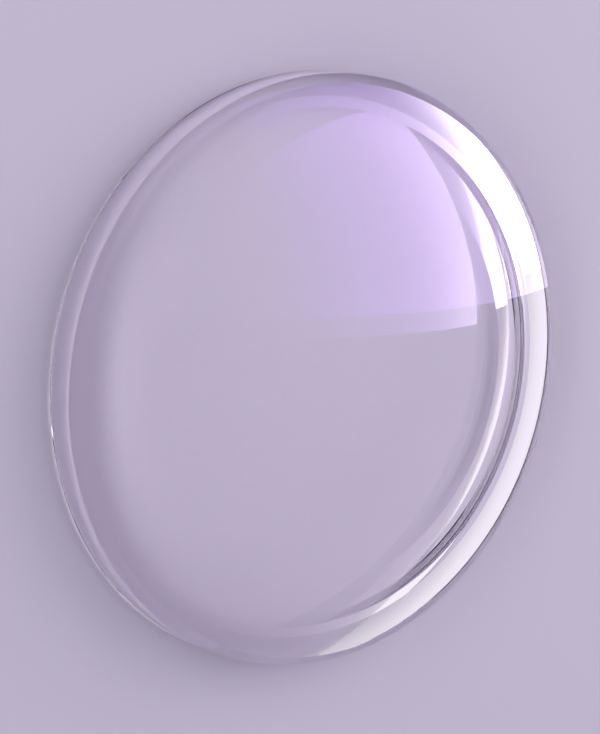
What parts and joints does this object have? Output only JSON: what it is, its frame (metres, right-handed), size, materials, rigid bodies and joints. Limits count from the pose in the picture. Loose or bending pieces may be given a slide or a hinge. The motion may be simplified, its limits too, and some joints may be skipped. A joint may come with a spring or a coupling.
{
  "type": "single vision lens",
  "caption": "Round uncut spectacle lens of negative power: a clear moulded meniscus with a domed front, a hollow back and a bevelled edge.",
  "frame": {"origin": "on the lens axis, in the plane of the flat land around the hollow back face, on which the lens lies", "axes": "+Z along the lens axis from the hollow back to the domed front; the lens is the same all round, so +X is any direction"},
  "size_m": [0.07, 0.07, 0.0132],
  "materials": {
    "lens_resin": "polished faces with a violet anti-reflection coating, smooth moulded edge"
  },
  "bodies": {
    "root": {"lens": "lens_resin"}
  },
  "joints": []
}
